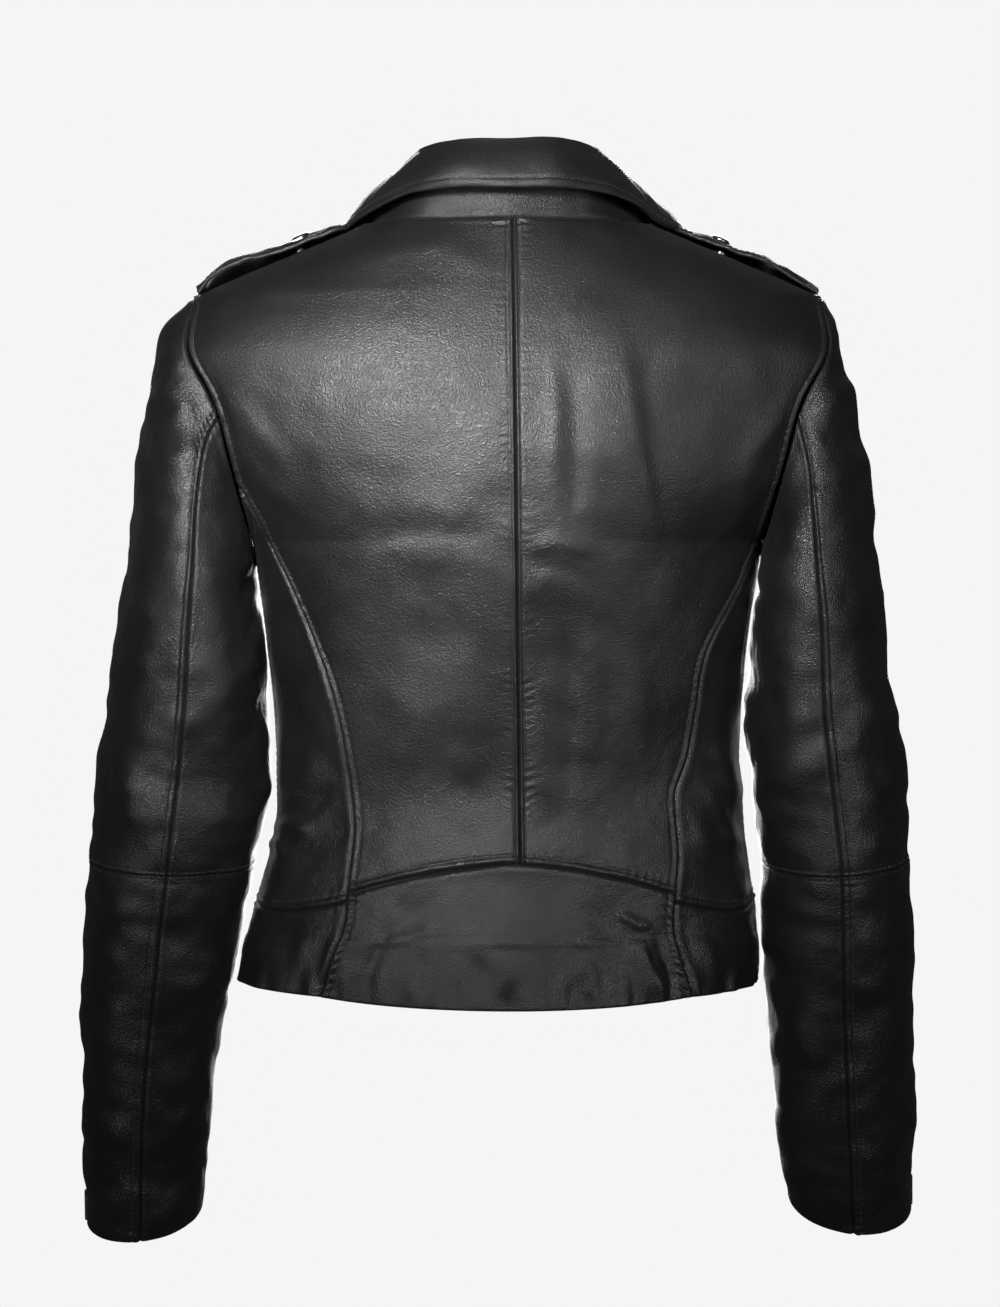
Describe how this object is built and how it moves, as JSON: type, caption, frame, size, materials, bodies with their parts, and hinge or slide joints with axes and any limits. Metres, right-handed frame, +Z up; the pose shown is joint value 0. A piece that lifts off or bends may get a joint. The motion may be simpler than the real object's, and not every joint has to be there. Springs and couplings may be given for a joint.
{
  "type": "leather riding jacket",
  "caption": "Cropped leather biker jacket, empty and upright, with folded collar, lapels, epaulettes, curved back seams, two-piece sleeves and metal zips.",
  "frame": {"origin": "the neck seam in the middle of the back, where the hanger loop is sewn", "axes": "+Z up, the front faces -Y, +X is the wearer's left"},
  "size_m": [0.5684, 0.2463, 0.7362],
  "materials": {
    "shell_leather": "fine pebble grain, soft semi-gloss, warm black",
    "lining_fabric": "smooth woven twill lining, slight sheen",
    "pad_wadding": "matt wadding, hidden between shell and lining",
    "label_fabric": "blank woven tape label",
    "zip_tape": "ribbed woven zip tape",
    "zip_metal": "aged antique nickel, brushed by use",
    "snap_metal": "aged antique nickel, polished dome"
  },
  "bodies": {
    "jacket_body": {"back_left": "shell_leather", "back_right": "shell_leather", "side_back_left": "shell_leather", "side_back_right": "shell_leather", "front_left": "shell_leather", "front_right": "shell_leather", "side_front_left": "shell_leather", "side_front_right": "shell_leather", "hem_back": "shell_leather", "hem_side_left": "shell_leather", "hem_side_right": "shell_leather", "hem_front_left": "shell_leather", "hem_front_right": "shell_leather", "collar_stand": "shell_leather", "collar_leaf": "shell_leather", "lapel_left": "shell_leather", "lapel_right": "shell_leather", "neck_facing": "shell_leather", "lining_back": "lining_fabric", "lining_front_left": "lining_fabric", "lining_front_right": "lining_fabric", "shoulder_pad_left": "pad_wadding", "shoulder_pad_right": "pad_wadding", "hanger_loop": "shell_leather", "size_label": "label_fabric", "front_zip_tape": "zip_tape", "front_zip_teeth": "zip_metal", "pocket_zip_left": "zip_metal", "pocket_zip_right": "zip_metal", "epaulette_studs": "snap_metal", "lapel_snaps": "snap_metal"},
    "front_slider": {"front_zip_slider": "zip_metal"},
    "front_pull": {"front_zip_puller": "zip_metal"},
    "pocket_slider_left": {"pocket_slider_left": "zip_metal"},
    "pocket_pull_left": {"pocket_puller_left": "zip_metal"},
    "epaulette_left": {"epaulette_left": "shell_leather", "epaulette_cap_left": "snap_metal"},
    "upper_sleeve_left": {"upper_sleeve_outer_left": "shell_leather", "upper_sleeve_under_left": "shell_leather", "upper_lining_left": "lining_fabric"},
    "forearm_left": {"forearm_outer_left": "shell_leather", "forearm_under_left": "shell_leather", "forearm_lining_left": "lining_fabric", "cuff_zip_left": "zip_metal"},
    "cuff_slider_left": {"cuff_slider_left": "zip_metal"},
    "cuff_pull_left": {"cuff_puller_left": "zip_metal"},
    "pocket_slider_right": {"pocket_slider_right": "zip_metal"},
    "pocket_pull_right": {"pocket_puller_right": "zip_metal"},
    "epaulette_right": {"epaulette_right": "shell_leather", "epaulette_cap_right": "snap_metal"},
    "upper_sleeve_right": {"upper_sleeve_outer_right": "shell_leather", "upper_sleeve_under_right": "shell_leather", "upper_lining_right": "lining_fabric"},
    "forearm_right": {"forearm_outer_right": "shell_leather", "forearm_under_right": "shell_leather", "forearm_lining_right": "lining_fabric", "cuff_zip_right": "zip_metal"},
    "cuff_slider_right": {"cuff_slider_right": "zip_metal"},
    "cuff_pull_right": {"cuff_puller_right": "zip_metal"}
  },
  "joints": [
    {"name": "shoulder_left", "type": "hinge", "parent": "jacket_body", "child": "upper_sleeve_left", "pos_m": [0.19, -0.062, -0.132], "axis": [-0.9715, 0, 0.237], "range_deg": [0, 20]},
    {"name": "elbow_left", "type": "hinge", "parent": "upper_sleeve_left", "child": "forearm_left", "pos_m": [0.2245, -0.1285, -0.4185], "axis": [-1, 0, 0], "range_deg": [0, 18]},
    {"name": "epaulette_lift_left", "type": "hinge", "parent": "jacket_body", "child": "epaulette_left", "pos_m": [0.207, -0.062, -0.0465], "axis": [0, 1, 0], "range_deg": [0, 100]},
    {"name": "shoulder_right", "type": "hinge", "parent": "jacket_body", "child": "upper_sleeve_right", "pos_m": [-0.19, -0.062, -0.132], "axis": [-0.9715, 0, -0.237], "range_deg": [0, 20]},
    {"name": "elbow_right", "type": "hinge", "parent": "upper_sleeve_right", "child": "forearm_right", "pos_m": [-0.2195, -0.1285, -0.4185], "axis": [-1, 0, 0], "range_deg": [0, 18]},
    {"name": "epaulette_lift_right", "type": "hinge", "parent": "jacket_body", "child": "epaulette_right", "pos_m": [-0.207, -0.062, -0.0465], "axis": [0, -1, 0], "range_deg": [0, 100]},
    {"name": "front_zip_slide", "type": "slide", "parent": "jacket_body", "child": "front_slider", "axis": [0.2207, -0.048, -0.9742], "range_m": [0, 0.037]},
    {"name": "front_pull_swing", "type": "hinge", "parent": "front_slider", "child": "front_pull", "pos_m": [-0.02755, -0.19408, -0.20278], "axis": [-0.9725, 0.0652, -0.2236], "range_deg": [0, 150]},
    {"name": "pocket_zip_slide_left", "type": "slide", "parent": "jacket_body", "child": "pocket_slider_left", "axis": [0.0973, 0.2078, -0.9733], "range_m": [0, 0.06]},
    {"name": "pocket_pull_swing_left", "type": "hinge", "parent": "pocket_slider_left", "child": "pocket_pull_left", "pos_m": [0.06935, -0.17607, -0.31557], "axis": [-0.9494, -0.2739, -0.1534], "range_deg": [0, 150]},
    {"name": "pocket_zip_slide_right", "type": "slide", "parent": "jacket_body", "child": "pocket_slider_right", "axis": [-0.0974, 0.2041, -0.9741], "range_m": [0, 0.059]},
    {"name": "pocket_pull_swing_right", "type": "hinge", "parent": "pocket_slider_right", "child": "pocket_pull_right", "pos_m": [-0.06938, -0.17591, -0.31557], "axis": [-0.9483, 0.2781, 0.1531], "range_deg": [0, 150]},
    {"name": "cuff_zip_slide_left", "type": "slide", "parent": "forearm_left", "child": "cuff_slider_left", "axis": [-0.0047, 0.2684, 0.9633], "range_m": [0, 0.067]},
    {"name": "cuff_pull_swing_left", "type": "hinge", "parent": "cuff_slider_left", "child": "cuff_pull_left", "pos_m": [0.28784, -0.15614, -0.656], "axis": [-0.4682, -0.8518, 0.235], "range_deg": [0, 150]},
    {"name": "cuff_zip_slide_right", "type": "slide", "parent": "forearm_right", "child": "cuff_slider_right", "axis": [0.0266, 0.3037, 0.9524], "range_m": [0, 0.056]},
    {"name": "cuff_pull_swing_right", "type": "hinge", "parent": "cuff_slider_right", "child": "cuff_pull_right", "pos_m": [-0.27518, -0.15533, -0.64545], "axis": [-0.4906, 0.8341, -0.2523], "range_deg": [0, 150]}
  ]
}
